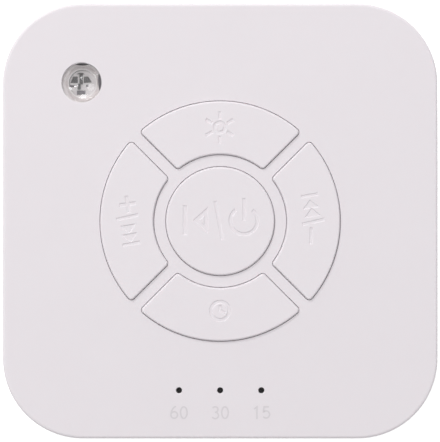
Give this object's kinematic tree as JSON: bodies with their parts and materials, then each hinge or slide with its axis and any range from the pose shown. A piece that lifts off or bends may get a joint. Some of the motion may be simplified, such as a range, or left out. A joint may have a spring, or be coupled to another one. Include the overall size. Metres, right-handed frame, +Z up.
{
  "type": "white noise sound machine",
  "caption": "Square table-top sound machine with round corners, a ring of push buttons round a middle button, a night light, timer lights and a downward speaker.",
  "frame": {"origin": "middle of the surface that the four feet stand on", "axes": "+Z up out of the face with the buttons, +X to the user's right, +Y away from the user, towards the sockets"},
  "size_m": [0.1, 0.1, 0.05],
  "materials": {
    "housing": "fine satin texture",
    "button": "satin",
    "grille": "fine satin texture",
    "foot": "matte",
    "lens": "clear polished plastic",
    "reflector": "gloss white",
    "led": "clear resin",
    "lead": "tinned",
    "timer_led": "phosphor resin",
    "board": "solder resist on glass laminate",
    "chip": "moulded resin",
    "can": "bare can with dark sleeve",
    "switch": "moulded",
    "plunger": "moulded",
    "screw": "zinc plated",
    "socket_shell": "nickel plated",
    "socket_body": "moulded",
    "cell": "shrink sleeve",
    "tab": "nickel strip",
    "foam": "closed-cell foam",
    "cloth": "acoustic cloth",
    "plug": "nylon",
    "wire": "soft sleeve",
    "speaker_steel": "zinc plated",
    "basket": "black enamel",
    "cone": "pressed pulp",
    "roll": "matte",
    "spider": "resin-dipped cloth",
    "coil": "enamelled wire",
    "magnet": "ferrite",
    "terminal": "resin board"
  },
  "bodies": {
    "housing": {"top_cover": "housing", "base_cover": "housing", "speaker_grille": "grille", "grille_cloth": "cloth", "front_left_foot": "foot", "front_right_foot": "foot", "rear_right_foot": "foot", "rear_left_foot": "foot", "case_screws": "screw", "power_switch": "switch", "light_switch": "switch", "timer_switch": "switch", "next_switch": "switch", "previous_switch": "switch", "night_light_lens": "lens", "night_light_reflector": "reflector", "night_light_led": "led", "night_light_leads": "lead", "timer_led_left": "timer_led", "timer_led_middle": "timer_led", "timer_led_right": "timer_led", "main_board": "board", "board_screws": "screw", "sound_chip": "chip", "amplifier_chip": "chip", "capacitors": "can", "usb_socket": "socket_shell", "usb_tongue": "socket_body", "headphone_socket": "socket_body", "battery_cell": "cell", "battery_tabs": "tab", "battery_pad": "foam", "battery_plug": "plug", "battery_wires": "wire", "speaker_frame": "basket", "speaker_surround": "roll", "speaker_cone": "cone", "speaker_dust_cap": "cone", "speaker_spider": "spider", "speaker_coil": "coil", "speaker_washer": "speaker_steel", "speaker_magnet": "magnet", "speaker_yoke": "speaker_steel", "speaker_gasket": "foam", "speaker_terminals": "terminal", "speaker_screws": "screw", "speaker_plug": "plug", "speaker_wires": "wire"},
    "power_key": {"power_button": "button", "power_plunger": "plunger"},
    "light_key": {"light_button": "button", "light_plunger": "plunger"},
    "timer_key": {"timer_button": "button", "timer_plunger": "plunger"},
    "next_key": {"next_button": "button", "next_plunger": "plunger"},
    "previous_key": {"previous_button": "button", "previous_plunger": "plunger"}
  },
  "joints": [
    {"name": "power_press", "type": "slide", "parent": "housing", "child": "power_key", "axis": [0, 0, -1], "range_m": [0, 0.0005], "stiffness_N_per_m": 600, "springref_m": -0.0015},
    {"name": "light_press", "type": "slide", "parent": "housing", "child": "light_key", "axis": [0, 0, -1], "range_m": [0, 0.0005], "stiffness_N_per_m": 600, "springref_m": -0.0015},
    {"name": "timer_press", "type": "slide", "parent": "housing", "child": "timer_key", "axis": [0, 0, -1], "range_m": [0, 0.0005], "stiffness_N_per_m": 600, "springref_m": -0.0015},
    {"name": "next_press", "type": "slide", "parent": "housing", "child": "next_key", "axis": [0, 0, -1], "range_m": [0, 0.0005], "stiffness_N_per_m": 600, "springref_m": -0.0015},
    {"name": "previous_press", "type": "slide", "parent": "housing", "child": "previous_key", "axis": [0, 0, -1], "range_m": [0, 0.0005], "stiffness_N_per_m": 600, "springref_m": -0.0015}
  ]
}
